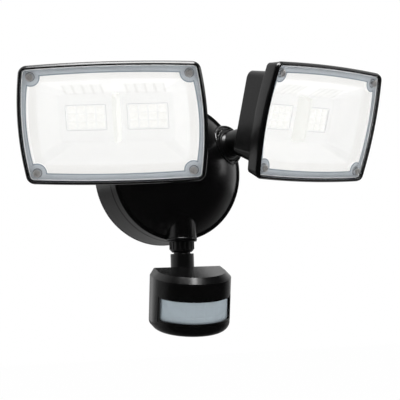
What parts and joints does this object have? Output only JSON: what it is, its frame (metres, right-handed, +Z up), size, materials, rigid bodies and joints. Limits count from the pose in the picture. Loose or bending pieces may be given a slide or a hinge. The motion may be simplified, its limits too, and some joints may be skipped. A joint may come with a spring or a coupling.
{
  "type": "motion sensor security light",
  "caption": "Wall-mounted outdoor security light: two adjustable rectangular LED flood heads on a round domed base, with a motion sensor on a swivel stem below.",
  "frame": {"origin": "centre of the mounting strap's back face, on the wall's surface", "axes": "+X to the right of someone who faces the wall, +Y into the wall, +Z up"},
  "size_m": [0.3107, 0.1783, 0.2124],
  "materials": {
    "body_black": "satin moulded plastic",
    "joint_black": "satin moulded nylon",
    "ball_nylon": "smooth nylon",
    "wall_foam": "closed-cell foam",
    "seal_grey": "silicone",
    "plug_rubber": "smooth rubber",
    "steel_zinc": "zinc plated",
    "steel_screw": "stainless",
    "brass_ground": "green dyed",
    "board_green": "solder mask",
    "board_white": "white solder mask on aluminium",
    "led_yellow": "silicone over phosphor",
    "reflector_white": "gloss white",
    "lens_clear": "clear polycarbonate",
    "fresnel_grey": "milky polyethylene",
    "can_steel": "nickel can",
    "dial_grey": "moulded",
    "coil_copper": "lacquered copper wire",
    "capacitor_sleeve": "shrunk sleeve",
    "relay_case": "moulded",
    "terminal_plastic": "moulded"
  },
  "bodies": {
    "base": {"wall_gasket": "wall_foam", "back_plate": "body_black", "mounting_strap": "steel_zinc", "ground_screw": "brass_ground", "wire_grommet": "plug_rubber", "base_housing": "body_black", "mounting_bolt": "steel_screw", "bolt_plug": "plug_rubber", "base_screws": "steel_screw", "driver_board": "board_green", "driver_coil": "coil_copper", "filter_capacitors": "capacitor_sleeve", "switching_relay": "relay_case", "terminal_block": "terminal_plastic"},
    "left_ring_body": {"left_lock_ring": "joint_black"},
    "left_ball_body": {"left_pivot_ball": "ball_nylon"},
    "left_arm_body": {"left_arm": "joint_black", "left_arm_clip": "steel_zinc"},
    "left_head_body": {"left_bezel": "body_black", "left_lens": "lens_clear", "left_lens_gasket": "seal_grey", "left_reflector": "reflector_white", "left_led_board": "board_white", "left_led_array": "led_yellow", "left_head_housing": "body_black", "left_lens_screws": "steel_screw", "left_rear_screws": "steel_screw", "left_knuckle_bolt": "steel_screw", "left_knuckle_nut": "steel_zinc"},
    "right_ring_body": {"right_lock_ring": "joint_black"},
    "right_ball_body": {"right_pivot_ball": "ball_nylon"},
    "right_arm_body": {"right_arm": "joint_black", "right_arm_clip": "steel_zinc"},
    "right_head_body": {"right_bezel": "body_black", "right_lens": "lens_clear", "right_lens_gasket": "seal_grey", "right_reflector": "reflector_white", "right_led_board": "board_white", "right_led_array": "led_yellow", "right_head_housing": "body_black", "right_lens_screws": "steel_screw", "right_rear_screws": "steel_screw", "right_knuckle_bolt": "steel_screw", "right_knuckle_nut": "steel_zinc"},
    "sensor_ring_body": {"sensor_lock_ring": "joint_black"},
    "sensor_stem_body": {"sensor_stem": "joint_black", "sensor_stem_clip": "steel_zinc"},
    "sensor_head_body": {"sensor_front_shell": "body_black", "sensor_rear_shell": "body_black", "window_frame": "body_black", "fresnel_lens": "fresnel_grey", "sensor_board": "board_green", "pyro_sensor": "can_steel", "control_board": "board_green", "sensor_screws": "steel_screw", "sensor_pin": "steel_screw"},
    "time_dial_body": {"time_dial": "dial_grey"},
    "range_dial_body": {"range_dial": "dial_grey"},
    "mode_switch_body": {"mode_switch": "dial_grey"}
  },
  "joints": [
    {"name": "left_ring_turn", "type": "hinge", "parent": "base", "child": "left_ring_body", "pos_m": [-0.0418, -0.0417, 0.0216], "axis": [-0.3387, -0.9305, 0.1392], "range_deg": [0, 180]},
    {"name": "left_pan", "type": "hinge", "parent": "base", "child": "left_ball_body", "pos_m": [-0.0418, -0.0417, 0.0216], "axis": [0, 0, 1], "range_deg": [-5, 10]},
    {"name": "left_swivel", "type": "hinge", "parent": "left_ball_body", "child": "left_arm_body", "pos_m": [-0.0418, -0.0417, 0.0216], "axis": [-0.4996, -0.855, 0.1392], "range_deg": [-90, 90]},
    {"name": "left_tilt", "type": "hinge", "parent": "left_arm_body", "child": "left_head_body", "pos_m": [-0.06678, -0.08445, 0.02856], "axis": [0.8619, -0.5067, -0.019], "range_deg": [-25, 45]},
    {"name": "right_ring_turn", "type": "hinge", "parent": "base", "child": "right_ring_body", "pos_m": [0.0418, -0.0417, 0.0216], "axis": [0.3387, -0.9305, 0.1392], "range_deg": [0, 180]},
    {"name": "right_pan", "type": "hinge", "parent": "base", "child": "right_ball_body", "pos_m": [0.0418, -0.0417, 0.0216], "axis": [0, 0, 1], "range_deg": [-10, 5]},
    {"name": "right_swivel", "type": "hinge", "parent": "right_ball_body", "child": "right_arm_body", "pos_m": [0.0418, -0.0417, 0.0216], "axis": [0.3885, -0.9109, 0.1392], "range_deg": [-90, 90]},
    {"name": "right_tilt", "type": "hinge", "parent": "right_arm_body", "child": "right_head_body", "pos_m": [0.06123, -0.08724, 0.02856], "axis": [0.919, 0.3941, 0.0138], "range_deg": [-25, 45]},
    {"name": "sensor_ring_turn", "type": "hinge", "parent": "base", "child": "sensor_ring_body", "pos_m": [0, -0.04, -0.062], "axis": [0, 0, -1], "range_deg": [0, 180]},
    {"name": "sensor_pan", "type": "hinge", "parent": "base", "child": "sensor_stem_body", "pos_m": [0, -0.04, -0.0685], "axis": [0, 0, 1], "range_deg": [-90, 90]},
    {"name": "sensor_tilt", "type": "hinge", "parent": "sensor_stem_body", "child": "sensor_head_body", "pos_m": [0, -0.04, -0.0905], "axis": [0.9877, -0.1564, 0], "range_deg": [-15, 45]},
    {"name": "time_dial_turn", "type": "hinge", "parent": "sensor_head_body", "child": "time_dial_body", "pos_m": [-0.01629, -0.06614, -0.12982], "axis": [0.0357, 0.2255, -0.9736], "range_deg": [-135, 135]},
    {"name": "range_dial_turn", "type": "hinge", "parent": "sensor_head_body", "child": "range_dial_body", "pos_m": [0.00741, -0.0699, -0.12982], "axis": [0.0357, 0.2255, -0.9736], "range_deg": [-135, 135]},
    {"name": "mode_slide", "type": "slide", "parent": "sensor_head_body", "child": "mode_switch_body", "axis": [0.9877, -0.1564, 0], "range_m": [-0.003, 0.003]}
  ]
}
